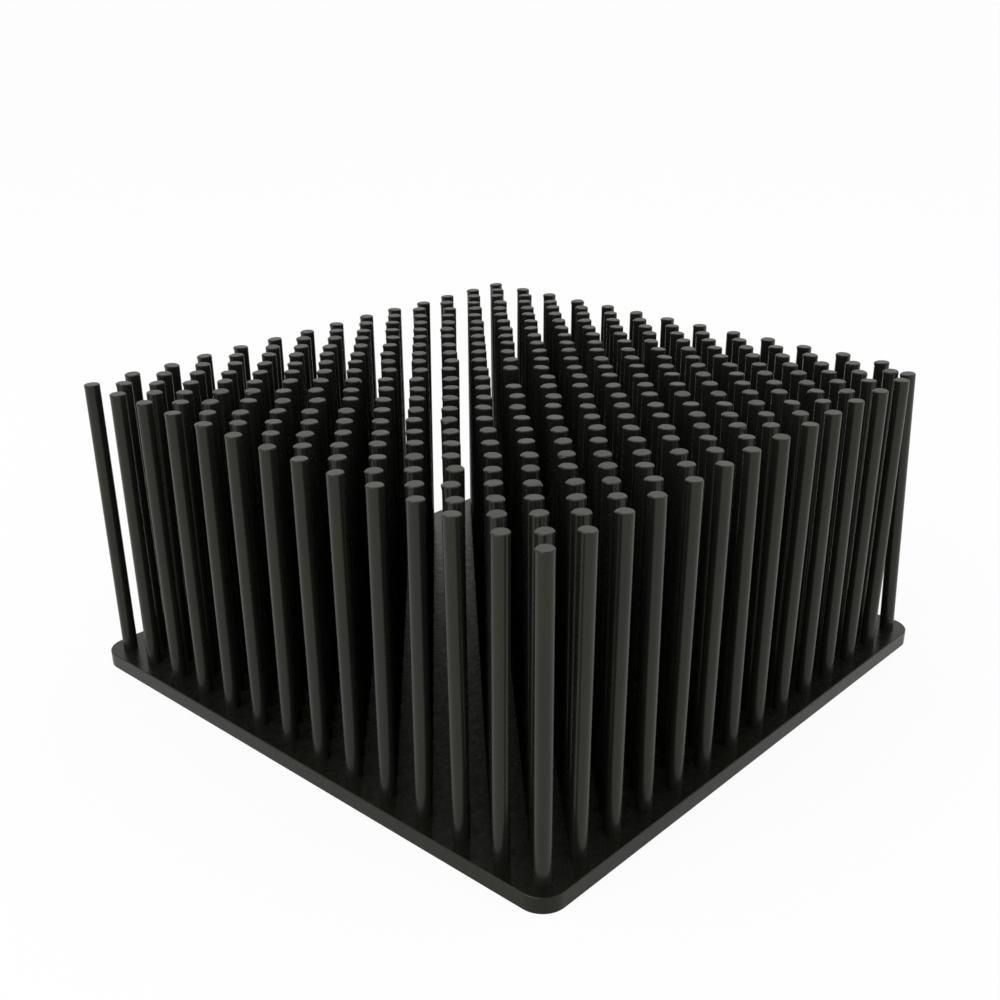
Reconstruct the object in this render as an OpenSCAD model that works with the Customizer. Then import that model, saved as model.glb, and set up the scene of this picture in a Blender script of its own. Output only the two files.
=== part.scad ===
// Pin fin heat sink, forged in one piece from aluminium: a square plate with round pins
// standing on it. Millimetres, +Z up. The origin is the centre of the plate's underside,
// the flat face that lies on the part to be cooled.

/* [Plate] */
// Length of each side of the square plate
plate_side = 120; // [80:1:160]
// Thickness of the plate
plate_t = 3; // [2:0.5:8]
// Radius of the plate's four corners, seen from above
corner_r = 4.5; // [2:0.5:8]
// Width of the small bevel round the plate's upper rim
rim_bevel = 0.3; // [0.1:0.1:0.8]

/* [Pins] */
// Diameter of a pin
pin_d = 2.9; // [2:0.1:3.6]
// Height of a pin above the plate
pin_h = 56; // [20:1:70]
// Distance from one pin to the next along a row
pitch = 8.6; // [7:0.1:12]
// Least distance from the axis of an outer pin to the plate's edge
edge_margin = 3.2; // [2.5:0.1:8]
// Width of the small bevel round a pin's tip
tip_bevel = 0.15; // [0.05:0.05:0.4]
// No pin has its axis closer than this to the middle of the plate
middle_clear = 3; // [1:0.5:20]

/* [Bent corner pin] */
// Angle that the bent pin leans away from upright
bent_lean = 3.7; // [0:0.1:4]
// Direction that it leans in, counted from +X towards +Y
bent_heading = 160; // [160:1:180]

/* [Hidden] */
$fn = 32;

pin_r = pin_d / 2;
// A pin's solid reaches this far down into the plate, which makes the two one piece
pin_root = plate_t / 2;
// As many pins stand in a row as the plate holds, with equal margins at both ends
pins_in_row = floor((plate_side - 2 * edge_margin) / pitch) + 1;
row_length = (pins_in_row - 1) * pitch;
anodised_black = [0.11, 0.11, 0.105];

// Places of a square grid of pins with its middle over the plate's middle
function grid(count) = [
    for (column = [0 : count - 1], row = [0 : count - 1])
        [column - (count - 1) / 2, row - (count - 1) / 2] * pitch
];

// The pins stand on one square grid and in the middle of each of its cells
all_places = concat(grid(pins_in_row), grid(pins_in_row - 1));
pin_places = [for (place = all_places) if (norm(place) > middle_clear) place];
bent_place = [row_length, -row_length] / 2;

// Right half of the plate's section at a distance from its middle, bevel included
function rim_section(reach) = [
    [0, 0],
    [reach, 0],
    [reach, plate_t - rim_bevel],
    [reach - rim_bevel, plate_t],
    [0, plate_t]
];

// One quarter of the plate between two corners: a bar from its middle out to one side
module plate_side_bar() {
    straight = plate_side - 2 * corner_r;
    rotate([90, 0, 0])
        linear_extrude(height = straight, center = true)
            polygon(rim_section(plate_side / 2));
}

// A round corner of the plate, with the same bevel
module plate_corner() {
    rotate_extrude() polygon(rim_section(corner_r));
}

module plate() {
    inset = plate_side / 2 - corner_r;
    for (turn = [0 : 90 : 270]) {
        rotate(turn) plate_side_bar();
        rotate(turn) translate([inset, inset, 0]) plate_corner();
    }
}

// One pin, upright over the origin, which is on the plate's upper face
module pin() {
    rotate_extrude()
        polygon([
            [0, -pin_root],
            [pin_r, -pin_root],
            [pin_r, pin_h - tip_bevel],
            [pin_r - tip_bevel, pin_h],
            [0, pin_h]
        ]);
}

// Leans what follows over its foot, towards a heading
module lean_over(angle, heading) {
    rotate([0, 0, heading]) rotate([0, angle, 0]) rotate([0, 0, -heading]) children();
}

module pins() {
    for (place = pin_places)
        translate([place.x, place.y, plate_t])
            lean_over(place == bent_place ? bent_lean : 0, bent_heading) pin();
}

module heat_sink() {
    color(anodised_black)
        union() {
            plate();
            pins();
        }
}

heat_sink();
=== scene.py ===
# %% [markdown]
# # A pin fin heat sink in black anodised aluminium
#
# The object is one forging: a square plate, 3 mm thick, with 364 slim round pins standing
# on it. Its flat underside lies on a hot chip or lamp board, and air moves between the pins.
#
# The solid model already has every size right. What this script adds is what makes the part
# look real from close by: pins that each lean a little, tips that were cut to length and
# came out slightly different every time, and a satin black skin.
#
# The first cell loads the solid model, which Blender never moves or resizes, and keeps its
# box.

# %% Load the solid model
import math

import bmesh
import bpy
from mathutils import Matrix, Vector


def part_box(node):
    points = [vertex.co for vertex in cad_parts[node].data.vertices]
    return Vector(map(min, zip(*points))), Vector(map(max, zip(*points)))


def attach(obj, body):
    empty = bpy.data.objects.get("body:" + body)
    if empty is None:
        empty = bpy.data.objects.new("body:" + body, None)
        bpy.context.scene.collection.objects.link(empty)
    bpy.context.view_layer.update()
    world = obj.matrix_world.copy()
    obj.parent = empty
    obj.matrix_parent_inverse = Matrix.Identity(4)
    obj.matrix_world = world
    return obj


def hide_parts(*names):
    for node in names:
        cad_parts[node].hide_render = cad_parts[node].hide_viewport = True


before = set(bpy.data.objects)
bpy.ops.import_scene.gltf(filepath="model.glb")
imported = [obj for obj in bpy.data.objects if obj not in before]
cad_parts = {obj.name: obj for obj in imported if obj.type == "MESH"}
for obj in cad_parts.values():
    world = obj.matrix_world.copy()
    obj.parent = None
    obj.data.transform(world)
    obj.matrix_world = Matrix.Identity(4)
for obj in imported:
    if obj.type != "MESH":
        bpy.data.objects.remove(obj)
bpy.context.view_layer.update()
print("solid parts:", sorted(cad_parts))

# %% [markdown]
# ## Sizes
#
# Blender works in metres and the drawing of this part is in millimetres, so one constant
# turns one into the other. The outer sizes are read from the solid model. The sizes inside
# that box, such as the pitch of the pins, are the ones that the solid was built with. Only
# the rim's bevel is half as wide here, because a wider one would show as a dark line.

# %% Sizes of the part
MM = 0.001
low_corner, high_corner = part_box("heat_sink")
plate_side = high_corner.x - low_corner.x
total_height = high_corner.z - low_corner.z

plate_thickness = 3 * MM
corner_radius = 4.5 * MM
rim_bevel = 0.15 * MM

pin_radius = 1.45 * MM
pin_height = total_height - plate_thickness
pin_root = plate_thickness / 2
pitch = 8.6 * MM
edge_margin = 3.2 * MM
middle_clear = 3 * MM
tip_bevel = 0.15 * MM

pins_in_row = math.floor((plate_side - 2 * edge_margin) / pitch) + 1
print(f"plate {plate_side / MM:.1f} mm square, {pins_in_row} pins in a row, {pin_height / MM:.1f} mm tall")

# %% [markdown]
# ## The camera
#
# A product picture of this kind is taken from a little above, with one corner of the plate
# towards the lens. A lens of 46 mm from 27 cm away gives a strong perspective: upright pins
# spread apart towards the top, and the rows close up towards the back.
#
# A camera looks along its own -Z axis. Turned by 90 degrees less the downward tilt about X,
# it looks along +Y and down, and the turn about Z then swings it to its heading.

# %% Place the camera
camera_place = (-174.2 * MM, -156.2 * MM, 129.0 * MM)
camera_heading = math.radians(48.21)
camera_tilt = math.radians(25.25)
lens_length = 45.69
lens_shift = (-0.0161, 0.0686)


def make_camera():
    lens = bpy.data.cameras.new("studio camera")
    lens.lens = lens_length
    lens.shift_x, lens.shift_y = lens_shift
    camera = bpy.data.objects.new("studio camera", lens)
    camera.location = camera_place
    camera.rotation_euler = (math.pi / 2 - camera_tilt, 0, -camera_heading)
    bpy.context.scene.collection.objects.link(camera)
    return camera


bpy.context.scene.camera = make_camera()
print("camera height:", round(camera_place[2] / MM), "mm")

# %% [markdown]
# ## Writing node trees as sums
#
# Materials and Geometry Nodes are both trees of nodes. Clicked together by hand they are
# easy to read, but in a script every node would take four or five lines. Two small classes
# keep the script short.
#
# - `Wire` stands for one output socket. Python's own +, -, * and ** on wires add the node
#   that does the sum: a Math node for numbers, a Vector Math node for vectors.
# - `Tree` adds every other kind of node with one method. It takes the node's type, its
#   settings, and the values or wires for its sockets. The settings come first, because many
#   nodes change their sockets with them.


# %% Wires that can be added and multiplied
class Wire:
    """One output socket of a node in a tree."""

    def __init__(self, tree, socket):
        self.tree = tree
        self.socket = socket

    def sum_node(self, operation, first, second):
        wires = [value for value in (first, second) if isinstance(value, Wire)]
        is_vector = any(wire.socket.type == "VECTOR" for wire in wires)
        kind = "ShaderNodeVectorMath" if is_vector else "ShaderNodeMath"
        return self.tree.add(kind, {"operation": operation}, {0: first, 1: second})

    def __add__(self, other):
        return self.sum_node("ADD", self, other)

    def __radd__(self, other):
        return self.sum_node("ADD", other, self)

    def __sub__(self, other):
        return self.sum_node("SUBTRACT", self, other)

    def __rsub__(self, other):
        return self.sum_node("SUBTRACT", other, self)

    def __mul__(self, other):
        return self.sum_node("MULTIPLY", self, other)

    def __rmul__(self, other):
        return self.sum_node("MULTIPLY", other, self)

    def __pow__(self, power):
        return self.sum_node("POWER", self, power)

    def __gt__(self, other):
        return self.sum_node("GREATER_THAN", self, other)

    def __lt__(self, other):
        return self.sum_node("LESS_THAN", self, other)


print("wires are ready")

# %% [markdown]
# A node often has several sockets of the same name and shows only those that its settings
# ask for. `live_socket` looks among the shown ones only, by name or by position.


# %% One method for every node
def live_socket(sockets, key):
    shown = [socket for socket in sockets if socket.enabled]
    if isinstance(key, int):
        return shown[key]
    return next(socket for socket in shown if socket.name == key)


class Tree:
    """A node tree that is filled through one method."""

    def __init__(self, tree):
        self.tree = tree

    def add(self, kind, settings=None, sockets=None, output=0):
        node = self.tree.nodes.new(kind)
        for name, value in (settings or {}).items():
            setattr(node, name, value)
        for key, value in (sockets or {}).items():
            self.plug(live_socket(node.inputs, key), value)
        if not node.outputs:
            return None
        return Wire(self, live_socket(node.outputs, output))

    def plug(self, socket, value):
        if isinstance(value, Wire):
            self.tree.links.new(value.socket, socket)
        elif isinstance(value, list):
            for wire in value:
                self.plug(socket, wire)
        elif socket.type == "VECTOR" and isinstance(value, (int, float)):
            socket.default_value = (value, value, value)
        else:
            socket.default_value = value

    def vector(self, operation, *values):
        return self.add("ShaderNodeVectorMath", {"operation": operation}, dict(enumerate(values)))


print("trees are ready")

# %% [markdown]
# ## The black skin
#
# Anodising grows a thin, hard, glassy layer on the aluminium, and black dye fills its pores.
# So the surface doesn't look like metal at all: it is a black body under a clear skin. The
# Principled shader gives that with Metallic at 0, a base colour that is nearly black, and a
# low index of refraction, 1.38 on the pins and 1.32 on the plate. Straight on, such a skin
# mirrors only 2 to 3% of what is around it. At a glancing angle it mirrors several times
# more, and that is why the flat tips look grey from a low camera while the pins under them
# stay black. A faint yellow-green tint on the mirroring keeps the greys warm.
#
# Three finishes share that skin. Each has its own pattern, made by a short function that
# returns the base colour, the roughness and the height for a Bump node. All of them are
# worked out from Object coordinates in millimetres, so one unit in a pattern is 1 mm.


# %% One skin, several patterns
pin_refraction = 1.38
plate_refraction = 1.32
skin_tint = (0.95, 1.0, 0.80, 1)


def mix_colours(tree, factor, first, second):
    settings = {"data_type": "RGBA"}
    return tree.add("ShaderNodeMix", settings, {"Factor": factor, "A": first, "B": second})


def noise(tree, place, scale, detail=2.0):
    sockets = {"Vector": place, "Scale": scale, "Detail": detail}
    return tree.add("ShaderNodeTexNoise", None, sockets, "Fac")


def stretched(tree, place, x, y, z):
    return tree.vector("MULTIPLY", place, (x, y, z))


def anodised(name, pattern, refraction):
    """A black anodised finish with a pattern of its own."""
    material = bpy.data.materials.new(name)
    material.use_nodes = True
    material.node_tree.nodes.clear()
    tree = Tree(material.node_tree)
    place = tree.add("ShaderNodeTexCoord", output="Object") * (1 / MM)
    colour, roughness, height, depth = pattern(tree, place)
    bump = tree.add("ShaderNodeBump", None, {"Strength": 1.0, "Distance": depth, "Height": height})
    skin = tree.add(
        "ShaderNodeBsdfPrincipled",
        None,
        {
            "Base Color": colour,
            "Roughness": roughness,
            "IOR": refraction,
            "Specular Tint": skin_tint,
            "Normal": bump,
        },
    )
    tree.add("ShaderNodeOutputMaterial", None, {"Surface": skin})
    return material


print("index of refraction of the skin:", pin_refraction, "and", plate_refraction)

# %% [markdown]
# ### Pins
#
# A forged pin is squeezed up through a round hole in the die, and the hole's wall leaves
# faint straight lines along it. A noise that is stretched along Z gives such lines. They go
# into the roughness, where they break up the reflection of the neighbouring pins, and very
# lightly into the bump. The dye never takes quite evenly, so the black turns a little
# browner from one pin to the next.


# %% Finish of the pins
pin_black = (0.0088, 0.0100, 0.0090, 1)
pin_brown_black = (0.0125, 0.0124, 0.0096, 1)


def pin_pattern(tree, place):
    draw_lines = noise(tree, stretched(tree, place, 3.5, 3.5, 0.05), 1.0, 3.0)
    patches = noise(tree, place, 0.09, 1.0)
    grain = noise(tree, place, 3.0, 2.0)
    colour = mix_colours(tree, patches, pin_black, pin_brown_black)
    roughness = 0.20 + draw_lines * 0.08 + grain * 0.04
    return colour, roughness, draw_lines, 0.002 * MM


pin_finish = anodised("black_anodised_pin", pin_pattern, pin_refraction)
print("made", pin_finish.name)

# %% [markdown]
# ### Tips
#
# The pins come out of the press at unequal lengths and are cut to one height together. The
# cutter leaves fine straight lines, all running the same way, and a duller surface than the
# pressed metal has. Bands along one direction of the plate, bent a little by noise so that
# they look cut and not printed, give the lines.


# %% Finish of the cut tips
tip_black = (0.0180, 0.0180, 0.0165, 1)
tip_worn_black = (0.0320, 0.0320, 0.0300, 1)
cutter_line_spacing = 0.3
# At a scale of 1 the Wave texture has a band every 0.31 mm
wave_spacing = 0.31


def tip_pattern(tree, place):
    bands = tree.add(
        "ShaderNodeTexWave",
        {"bands_direction": "X"},
        {
            "Vector": stretched(tree, place, 1, 0.4, 1),
            "Scale": wave_spacing / cutter_line_spacing,
            "Distortion": 1.5,
            "Detail": 2.0,
        },
        "Fac",
    )
    wear = noise(tree, place, 0.5, 3.0)
    colour = mix_colours(tree, wear, tip_black, tip_worn_black)
    roughness = 0.34 + wear * 0.12
    return colour, roughness, bands, 0.010 * MM


tip_finish = anodised("black_anodised_tip", tip_pattern, pin_refraction)
print("made", tip_finish.name)

# %% [markdown]
# ### Plate
#
# Between the pins the plate keeps the skin of the forging die: a fine leathery grain, about
# a millimetre across, in which the pins are mirrored but broken up. Two noises of different
# sizes are added for it.


# %% Finish of the plate
plate_black = (0.0050, 0.0056, 0.0044, 1)
plate_brown_black = (0.0085, 0.0086, 0.0064, 1)


def plate_pattern(tree, place):
    grain = noise(tree, place, 0.7, 3.0)
    fine_grain = noise(tree, place, 2.2, 1.0)
    patches = noise(tree, place, 0.06, 2.0)
    colour = mix_colours(tree, patches, plate_black, plate_brown_black)
    roughness = 0.14 + grain * 0.26
    return colour, roughness, grain + fine_grain * 0.3, 0.035 * MM


plate_finish = anodised("black_anodised_plate", plate_pattern, plate_refraction)
print("made", plate_finish.name)

# %% [markdown]
# ## The plate
#
# The plate is a square with rounded corners and a small bevel round its upper rim, where
# the trimming tool broke the edge. A cube with a Bevel modifier would do, but three closed
# rings of points say exactly what it is: the foot, the height where the bevel starts, and
# the top, which is smaller all round by the bevel's width.
#
# A ring is four quarter circles, one at each corner. The straight sides need no points of
# their own, because the next quarter circle starts where the side ends.


# %% Model the plate
steps_per_corner = 12


def plate_ring(mesh, inset, height):
    centre = plate_side / 2 - corner_radius
    ring = []
    for quarter, (along_x, along_y) in enumerate(((1, 1), (-1, 1), (-1, -1), (1, -1))):
        for step in range(steps_per_corner + 1):
            angle = math.radians(90) * (quarter + step / steps_per_corner)
            x = centre * along_x + (corner_radius - inset) * math.cos(angle)
            y = centre * along_y + (corner_radius - inset) * math.sin(angle)
            ring.append(mesh.verts.new((x, y, height)))
    return ring


def bridge(mesh, lower, upper):
    """Joins two rings of as many points with a band of faces that look outwards."""
    count = len(lower)
    for i in range(count):
        after = (i + 1) % count
        mesh.faces.new((lower[i], lower[after], upper[after], upper[i]))


def new_object(name, mesh):
    data = bpy.data.meshes.new(name)
    mesh.to_mesh(data)
    mesh.free()
    made = bpy.data.objects.new(name, data)
    bpy.context.scene.collection.objects.link(made)
    return made


def make_plate():
    mesh = bmesh.new()
    foot = plate_ring(mesh, 0, 0)
    shoulder = plate_ring(mesh, 0, plate_thickness - rim_bevel)
    top = plate_ring(mesh, rim_bevel, plate_thickness)
    bridge(mesh, foot, shoulder)
    bridge(mesh, shoulder, top)
    mesh.faces.new(top)
    mesh.faces.new(reversed(foot))
    return new_object("plate", mesh)


plate = make_plate()
print("plate:", len(plate.data.polygons), "faces")

# %% [markdown]
# ## One pin
#
# All 364 pins start as copies of this one, so it has to stay light: every face here is there
# 364 times in the end. Eighteen sides with smooth shading look round. Along its height a pin
# needs only a few rings: the root, which reaches down into the plate, a neck just below the
# tip, the two edges of the small bevel, and a ring inside the flat tip.
#
# The rings near the tip are there for the next step, which makes every tip different. Two
# point attributes tell it what it may do with a point:
#
# - `outward` points from the pin's axis to the point, in shares of the pin's radius,
# - `tip` is 1 on the points that belong to the tip, and `edge` is 1 on those of its edge.


# %% Model one pin
pin_sides = 18
neck_length = 0.9 * MM
inner_share = 0.8


def make_pin():
    # Each ring is its radius, its height, and its values of tip and edge
    rings = (
        (pin_radius, -pin_root, 0, 0),
        (pin_radius, pin_height - neck_length, 0, 0),
        (pin_radius, pin_height - tip_bevel, 1, 1),
        (pin_radius - tip_bevel, pin_height, 1, 1),
        (pin_radius * inner_share, pin_height, 1, 0),
    )
    mesh = bmesh.new()
    outward = mesh.verts.layers.float_vector.new("outward")
    tip = mesh.verts.layers.float.new("tip")
    edge = mesh.verts.layers.float.new("edge")
    made = []
    for radius, height, tip_value, edge_value in rings:
        ring = []
        for side in range(pin_sides):
            angle = math.tau * side / pin_sides
            x = radius * math.cos(angle)
            y = radius * math.sin(angle)
            point = mesh.verts.new((x, y, height))
            point[outward] = (x / pin_radius, y / pin_radius, 0)
            point[tip] = tip_value
            point[edge] = edge_value
            ring.append(point)
        made.append(ring)
    for lower, upper in zip(made, made[1:]):
        bridge(mesh, lower, upper)
    mesh.faces.new(made[-1])
    mesh.faces.new(reversed(made[0]))
    return new_object("pin", mesh)


pin = make_pin()
print("one pin:", len(pin.data.polygons), "faces")

# %% [markdown]
# ## From one pin to 364
#
# Geometry Nodes are made for this: a pattern that follows a rule. The tree works in steps.
#
# 1. Two grids of points, one with a point in the middle of each cell of the other, less the
#    point in the middle of the plate.
# 2. A pin on each point. None stands quite upright: each leans by a random small angle, and
#    the one at the corner was bent by a knock.
# 3. Random values for each pin's tip, stored on the instances.
# 4. Real meshes, so that each tip can be shaped by its own values.
# 5. A union of pins and plate, because the real part is one piece of metal.
#
# Everything that someone may want to change is a named input of the tree, with the unit in
# which Blender keeps it: metres and radians.

# %% Inputs of the tree
bent_lean = math.radians(3.7)
bent_heading = math.radians(160)

tree_inputs = {
    "Pin": ("NodeSocketObject", pin),
    "Pins in a row": ("NodeSocketInt", pins_in_row),
    "Pitch": ("NodeSocketFloat", pitch),
    "Foot height": ("NodeSocketFloat", plate_thickness),
    "Middle clear": ("NodeSocketFloat", middle_clear),
    "Most lean": ("NodeSocketFloat", math.radians(0.55)),
    "Bent lean": ("NodeSocketFloat", bent_lean),
    "Bent heading": ("NodeSocketFloat", bent_heading),
    "Most tip slope": ("NodeSocketFloat", 0.05),
    "Drag direction": ("NodeSocketVector", (-0.67, 0.74, 0)),
    "Most lip": ("NodeSocketFloat", 0.20 * MM),
    "Burr share": ("NodeSocketFloat", 0.06),
    "Burr size": ("NodeSocketFloat", 0.3 * MM),
    "Seed": ("NodeSocketInt", 11),
    "Pin finish": ("NodeSocketMaterial", pin_finish),
    "Tip finish": ("NodeSocketMaterial", tip_finish),
    "Plate finish": ("NodeSocketMaterial", plate_finish),
}


def new_geometry_tree(name, inputs):
    """A tree with a mesh as its first input, then the named ones. Returns it and its inputs."""
    group = bpy.data.node_groups.new(name, "GeometryNodeTree")
    group.interface.new_socket("Mesh", in_out="INPUT", socket_type="NodeSocketGeometry")
    group.interface.new_socket("Mesh", in_out="OUTPUT", socket_type="NodeSocketGeometry")
    for label, (kind, _) in inputs.items():
        group.interface.new_socket(label, in_out="INPUT", socket_type=kind)
    tree = Tree(group)
    node = group.nodes.new("NodeGroupInput")
    wires = {socket.name: Wire(tree, socket) for socket in node.outputs if socket.name}
    return tree, wires


tree, given = new_geometry_tree("pins on a plate", tree_inputs)
print("inputs:", ", ".join(tree_inputs))

# %% [markdown]
# ### Where the pins stand
#
# A Mesh Grid node has its points where a square grid of pins stands. The second grid has one
# point fewer each way and is centred on the same place, so its points fall in the middle of
# the first one's cells, which gives the staggered pattern. The point nearest to the middle
# of the plate is left out.


# %% Points for the pins
def square_grid(tree, count, spacing):
    size = (count - 1) * spacing
    sockets = {"Size X": size, "Size Y": size, "Vertices X": count, "Vertices Y": count}
    return tree.add("GeometryNodeMeshGrid", None, sockets)


def position_parts(tree):
    position = tree.add("GeometryNodeInputPosition")
    return [tree.add("ShaderNodeSeparateXYZ", None, {0: position}, axis) for axis in "XYZ"]


corner_grid = square_grid(tree, given["Pins in a row"], given["Pitch"])
cell_grid = square_grid(tree, given["Pins in a row"] - 1, given["Pitch"])
both_grids = tree.add("GeometryNodeJoinGeometry", None, {"Geometry": [corner_grid, cell_grid]})

from_middle = tree.vector("LENGTH", tree.add("GeometryNodeInputPosition"))
kept_points = tree.add(
    "GeometryNodeDeleteGeometry",
    {"domain": "POINT"},
    {"Geometry": both_grids, "Selection": from_middle < given["Middle clear"]},
)
foot_offset = tree.add("ShaderNodeCombineXYZ", None, {"Z": given["Foot height"]})
foot_points = tree.add(
    "GeometryNodeSetPosition", None, {"Geometry": kept_points, "Offset": foot_offset}
)
print("pins to place:", pins_in_row**2 + (pins_in_row - 1) ** 2 - 1)

# %% [markdown]
# ### How each pin leans
#
# A Random Value node gives every point its own number. Each draw adds a different constant
# to the seed, because two draws with the same seed would be the same numbers.
#
# The bent pin is the one at the corner where x is largest and y smallest. There x - y is as
# long as a whole row, and everywhere else it is at least a pitch shorter, so one comparison
# finds it. The lean is a turn about a level axis, square to the direction of the lean.


# %% Lean the pins and place them
def draw(tree, lowest, highest, number):
    sockets = {"Min": lowest, "Max": highest, "Seed": given["Seed"] + number}
    return tree.add("FunctionNodeRandomValue", {"data_type": "FLOAT"}, sockets)


def blend_values(first, second, share):
    return first + (second - first) * share


x, y, _ = position_parts(tree)
row = (given["Pins in a row"] - 1) * given["Pitch"]
is_bent = (x - y) > (row - given["Pitch"] * 0.5)
lean = blend_values(draw(tree, 0.0, given["Most lean"], 1), given["Bent lean"], is_bent)
heading = blend_values(draw(tree, 0.0, math.tau, 2), given["Bent heading"], is_bent)

sine = tree.add("ShaderNodeMath", {"operation": "SINE"}, {0: heading})
cosine = tree.add("ShaderNodeMath", {"operation": "COSINE"}, {0: heading})
level_axis = tree.add("ShaderNodeCombineXYZ", None, {"X": 0 - sine, "Y": cosine})
turn = tree.add("FunctionNodeAxisAngleToRotation", None, {"Axis": level_axis, "Angle": lean})

pin_shape = tree.add("GeometryNodeObjectInfo", None, {"Object": given["Pin"]}, "Geometry")
leaning_pins = tree.add(
    "GeometryNodeInstanceOnPoints",
    None,
    {"Points": foot_points, "Instance": pin_shape, "Rotation": turn},
)
print("pins lean up to", round(math.degrees(tree_inputs["Most lean"][1]), 2), "degrees")

# %% [markdown]
# ### What each tip is like
#
# Real cut tips are not perfect discs. Three things make them differ, and each gets a random
# value that is stored on the instance, from where it spreads to the points of that pin:
#
# - `slope`: the cut is not quite square, so the tip tilts a few degrees either way,
# - `lip`: the cutter drags metal towards one side, which leaves a pointed lip there,
# - `burr`: on a few pins, a small tab of metal is left hanging at the edge. It has a
#   direction, and a length of nought on the pins that have none.


# %% Draw the values of each tip
def store_on_pins(tree, pins, name, kind, value):
    return tree.add(
        "GeometryNodeStoreNamedAttribute",
        {"data_type": kind, "domain": "INSTANCE"},
        {"Geometry": pins, "Name": name, "Value": value},
    )


slope = tree.add(
    "ShaderNodeCombineXYZ",
    None,
    {
        "X": draw(tree, -1.0, 1.0, 3) * given["Most tip slope"],
        "Y": draw(tree, -1.0, 1.0, 4) * given["Most tip slope"],
    },
)
lip = draw(tree, 0.0, 1.0, 5) * given["Most lip"]

has_burr = draw(tree, 0.0, 1.0, 6) < given["Burr share"]
burr_angle = draw(tree, 0.0, math.tau, 7)
burr = tree.add(
    "ShaderNodeCombineXYZ",
    None,
    {
        "X": tree.add("ShaderNodeMath", {"operation": "COSINE"}, {0: burr_angle}) * has_burr,
        "Y": tree.add("ShaderNodeMath", {"operation": "SINE"}, {0: burr_angle}) * has_burr,
    },
)

marked_pins = store_on_pins(tree, leaning_pins, "slope", "FLOAT_VECTOR", slope)
marked_pins = store_on_pins(tree, marked_pins, "lip", "FLOAT", lip)
marked_pins = store_on_pins(tree, marked_pins, "burr", "FLOAT_VECTOR", burr)
print("each tip has a slope, a lip and sometimes a burr")

# %% [markdown]
# ### Shape the tips
#
# Once the instances are real meshes, Set Position can move each point by its own amount.
# The dot product of `outward` and a direction is large on that side of the tip and small or
# negative on the other. A high power of it picks a narrow place: a power of 4 gives the
# pointed lip, and a power of 16 the narrow burr.


# %% Move the points of the tips
lip_power = 4
lip_droop = 0.3
burr_power = 16
burr_spread = 0.6
ragged_range = 0.06 * MM


def stored(tree, name, kind):
    return tree.add("GeometryNodeInputNamedAttribute", {"data_type": kind}, {"Name": name})


def side_weight(tree, outward, direction, sharpness):
    """1 on the side of the pin that faces a direction, falling off to 0 around it."""
    facing = tree.vector("DOT_PRODUCT", outward, direction)
    positive = tree.add("ShaderNodeMath", {"operation": "MAXIMUM"}, {0: facing, 1: 0.0})
    return positive**sharpness


real_pins = tree.add("GeometryNodeRealizeInstances", None, {"Geometry": marked_pins})

outward = stored(tree, "outward", "FLOAT_VECTOR")
on_tip = stored(tree, "tip", "FLOAT")
on_edge = stored(tree, "edge", "FLOAT")

tilt = tree.vector("DOT_PRODUCT", outward, stored(tree, "slope", "FLOAT_VECTOR")) * pin_radius
lip_side = side_weight(tree, outward, given["Drag direction"], lip_power)
lip_here = lip_side * stored(tree, "lip", "FLOAT")
burr_side = side_weight(tree, outward, stored(tree, "burr", "FLOAT_VECTOR"), burr_power)
burr_here = burr_side * given["Burr size"]
ragged = tree.add(
    "ShaderNodeTexNoise",
    None,
    {"Vector": tree.add("GeometryNodeInputPosition"), "Scale": 0.9 / MM, "Detail": 1.0},
    "Fac",
)
ragged_here = (ragged - 0.5) * ragged_range

spread = burr_here * burr_spread + ragged_here
sideways = outward * spread + given["Drag direction"] * lip_here
down = tree.add("ShaderNodeCombineXYZ", None, {"Z": lip_here * lip_droop + burr_here})
upward = tree.add("ShaderNodeCombineXYZ", None, {"Z": tilt})
tip_move = upward * on_tip + (sideways - down) * on_edge

shaped_pins = tree.add(
    "GeometryNodeSetPosition", None, {"Geometry": real_pins, "Offset": tip_move}
)
print("lip up to", round(tree_inputs["Most lip"][1] / MM, 2), "mm")

# %% [markdown]
# ### Join the pins to the plate
#
# The roots of the pins end inside the plate. Left like that, each pin would be a loose shell
# with hidden faces inside the metal. A Mesh Boolean union cuts those away and sews each pin
# to the plate along a clean circle, as on the forging.
#
# Smooth shading would round the crisp edges off, so every edge where the faces turn by more
# than 30 degrees is marked as sharp. Last come the finishes: the pin finish everywhere, then
# the plate finish on the faces that aren't higher than the plate, and the tip finish on the
# level faces far above it.

# %% Union, shading and finishes
sharp_turn = math.radians(30)
level_share = 0.8
above_plate = 1 * MM
height_slack = 0.01 * MM

one_piece = tree.add(
    "GeometryNodeMeshBoolean",
    {"operation": "UNION", "solver": "MANIFOLD"},
    {"Mesh": [given["Mesh"], shaped_pins]},
    "Mesh",
)
smooth = tree.add("GeometryNodeSetShadeSmooth", {"domain": "FACE"}, {0: one_piece})
edge_turn = tree.add("GeometryNodeInputMeshEdgeAngle", output="Unsigned Angle")
crisp = tree.add(
    "GeometryNodeSetShadeSmooth",
    {"domain": "EDGE"},
    {0: smooth, "Selection": edge_turn > sharp_turn, "Shade Smooth": False},
)

_, _, face_height = position_parts(tree)
face_normal = tree.add("GeometryNodeInputNormal")
normal_up = tree.add("ShaderNodeSeparateXYZ", None, {0: face_normal}, "Z")
is_plate = face_height < (given["Foot height"] + height_slack)
is_tip = (normal_up > level_share) * (face_height > (given["Foot height"] + above_plate))

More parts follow.
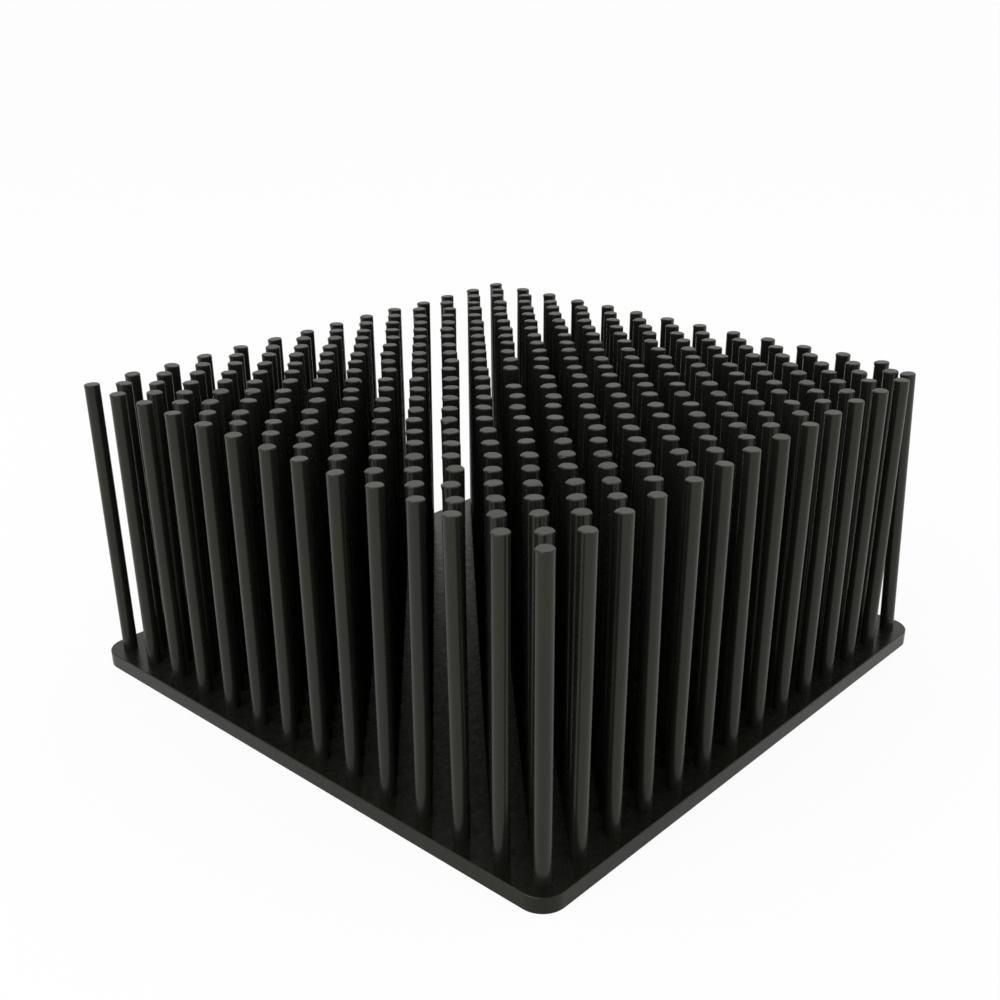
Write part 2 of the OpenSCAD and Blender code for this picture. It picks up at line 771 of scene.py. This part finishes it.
finished = tree.add("GeometryNodeRealizeInstances", None, {"Geometry": crisp})
for finish, faces in (("Pin finish", True), ("Plate finish", is_plate), ("Tip finish", is_tip)):
    finished = tree.add(
        "GeometryNodeSetMaterial",
        None,
        {"Geometry": finished, "Selection": faces, "Material": given[finish]},
    )
tree.add("NodeGroupOutput", None, {"Mesh": finished})
print("nodes in the tree:", len(tree.tree.nodes))

# %% [markdown]
# ## Make it a plain mesh
#
# The tree becomes a modifier on the plate. Its inputs are set by each socket's identifier,
# because the names are only labels. Then the evaluated result is copied into a mesh of its
# own, and the modifier, the plate and the single pin are no longer needed.


# %% Run the tree
def run_tree(target, tree, inputs):
    modifier = target.modifiers.new("pins on a plate", "NODES")
    modifier.node_group = tree.tree
    for item in tree.tree.interface.items_tree:
        if item.in_out == "INPUT" and item.name in inputs:
            modifier[item.identifier] = inputs[item.name][1]
    target.update_tag()
    graph = bpy.context.evaluated_depsgraph_get()
    mesh = bpy.data.meshes.new_from_object(target.evaluated_get(graph))
    target.modifiers.remove(modifier)
    return mesh


forged_mesh = run_tree(plate, tree, tree_inputs)
forging = bpy.data.objects.new("heat_sink_forging", forged_mesh)
forged_mesh.name = "heat_sink_forging"
bpy.context.scene.collection.objects.link(forging)
for helper in (plate, pin):
    bpy.data.objects.remove(helper)
print("forging:", len(forged_mesh.vertices), "points,", len(forged_mesh.polygons), "faces")

# %% [markdown]
# A solid has no open edge: every edge lies between exactly two faces. It is worth testing,
# because a hole would be in the mesh even where the picture looks fine. The
# volume is a second test, which would be negative if the faces looked inwards.


# %% Test that the forging is closed
def open_edges_and_volume(data):
    mesh = bmesh.new()
    mesh.from_mesh(data)
    bad = sum(1 for edge in mesh.edges if not edge.is_manifold)
    volume = mesh.calc_volume(signed=True)
    triangles = sum(len(face.verts) - 2 for face in mesh.faces)
    mesh.free()
    return bad, volume, triangles


bad_edges, volume, triangle_count = open_edges_and_volume(forged_mesh)
print(f"open edges {bad_edges}, volume {volume / MM**3:.0f} mm3, {triangle_count} triangles")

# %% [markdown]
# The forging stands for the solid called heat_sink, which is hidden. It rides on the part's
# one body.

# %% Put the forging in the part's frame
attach(forging, "root")
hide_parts("heat_sink")
print("materials:", [material.name for material in forged_mesh.materials])

# %% [markdown]
# ## The studio
#
# Black gloss shows nothing but its surroundings, so the surroundings matter more than the
# lamps: a white room, all round and underneath, which the pins mirror as calm grey bands.
#
# The world is white for the camera and for reflections and a little dimmer as a light. The
# Light Path node tells the two apart.


# %% White surroundings
room_light = 0.80


def seen_or_mirrored(tree, seen=1.0, mirrored=1.0):
    """A share for rays from the camera, one for rays from gloss or glass, 0 for the others."""
    camera, glossy, through = (
        tree.add("ShaderNodeLightPath", output=f"Is {kind} Ray")
        for kind in ("Camera", "Glossy", "Transmission")
    )
    total = camera * seen + glossy * mirrored + through * mirrored
    return tree.add("ShaderNodeMath", {"operation": "MINIMUM"}, {0: total, 1: 1.0})


def make_world():
    world = bpy.data.worlds.new("white room")
    world.use_nodes = True
    world.node_tree.nodes.clear()
    tree = Tree(world.node_tree)
    strength = blend_values(room_light, 1.0, seen_or_mirrored(tree))
    white = {"Color": (1, 1, 1, 1), "Strength": strength}
    background = tree.add("ShaderNodeBackground", None, white)
    tree.add("ShaderNodeOutputWorld", None, {"Surface": background})
    return world


bpy.context.scene.world = make_world()
print("the room is white")

# %% [markdown]
# The floor is a pale sheet. For the camera most of it glows at a strength of 1, which is plain
# white, and the rest is ordinary white paint, which still darkens where the part keeps the
# light away. So the part has a soft shadow and stands on something. In reflections only half
# of it glows, so the plate's sides mirror the darker floor close to them.


# %% White floor
floor_reach = 6.0
seen_glow = 0.92
mirrored_glow = 0.50
white_paint = (0.95, 0.95, 0.95, 1)
floor_gap = 0.02 * MM


def make_floor():
    material = bpy.data.materials.new("white_floor")
    material.use_nodes = True
    material.node_tree.nodes.clear()
    tree = Tree(material.node_tree)
    paint = tree.add("ShaderNodeBsdfDiffuse", None, {"Color": white_paint})
    glow = tree.add("ShaderNodeEmission", None, {"Color": (1, 1, 1, 1), "Strength": 1.0})
    share = seen_or_mirrored(tree, seen_glow, mirrored_glow)
    surface = tree.add("ShaderNodeMixShader", None, {0: share, 1: paint, 2: glow})
    tree.add("ShaderNodeOutputMaterial", None, {"Surface": surface})
    mesh = bmesh.new()
    bmesh.ops.create_grid(mesh, x_segments=1, y_segments=1, size=floor_reach)
    floor = new_object("floor", mesh)
    floor.location.z = low_corner.z - floor_gap
    floor.data.materials.append(material)
    return floor


floor = make_floor()
print("floor", 2 * floor_reach, "m wide")

# %% [markdown]
# Two large soft lamps add direction: a key lamp from the upper left and a weaker one from the
# right. A lamp's size decides how soft its light is. These are as large as the part is far
# from them, and about as bright as the white room, so they leave no hard spots on the gloss.


# %% Soft lamps
def make_lamp(name, place, size, power):
    light = bpy.data.lights.new(name, "AREA")
    light.shape = "SQUARE"
    light.size = size
    light.energy = power
    lamp = bpy.data.objects.new(name, light)
    lamp.location = place
    # An area lamp shines along its own -Z axis, which is turned towards the part
    towards = -lamp.location
    lamp.rotation_euler = towards.to_track_quat("-Z", "Y").to_euler()
    bpy.context.scene.collection.objects.link(lamp)
    return lamp


make_lamp("key lamp", (-0.50, 0.05, 0.55), 0.5, 1.5)
make_lamp("fill lamp", (0.35, -0.60, 0.45), 0.5, 0.6)
print("two lamps")

# %% [markdown]
# ## Colours as they are
#
# The Standard view shows a colour as it was written.

# %% Finish
bpy.context.scene.view_settings.view_transform = "Standard"
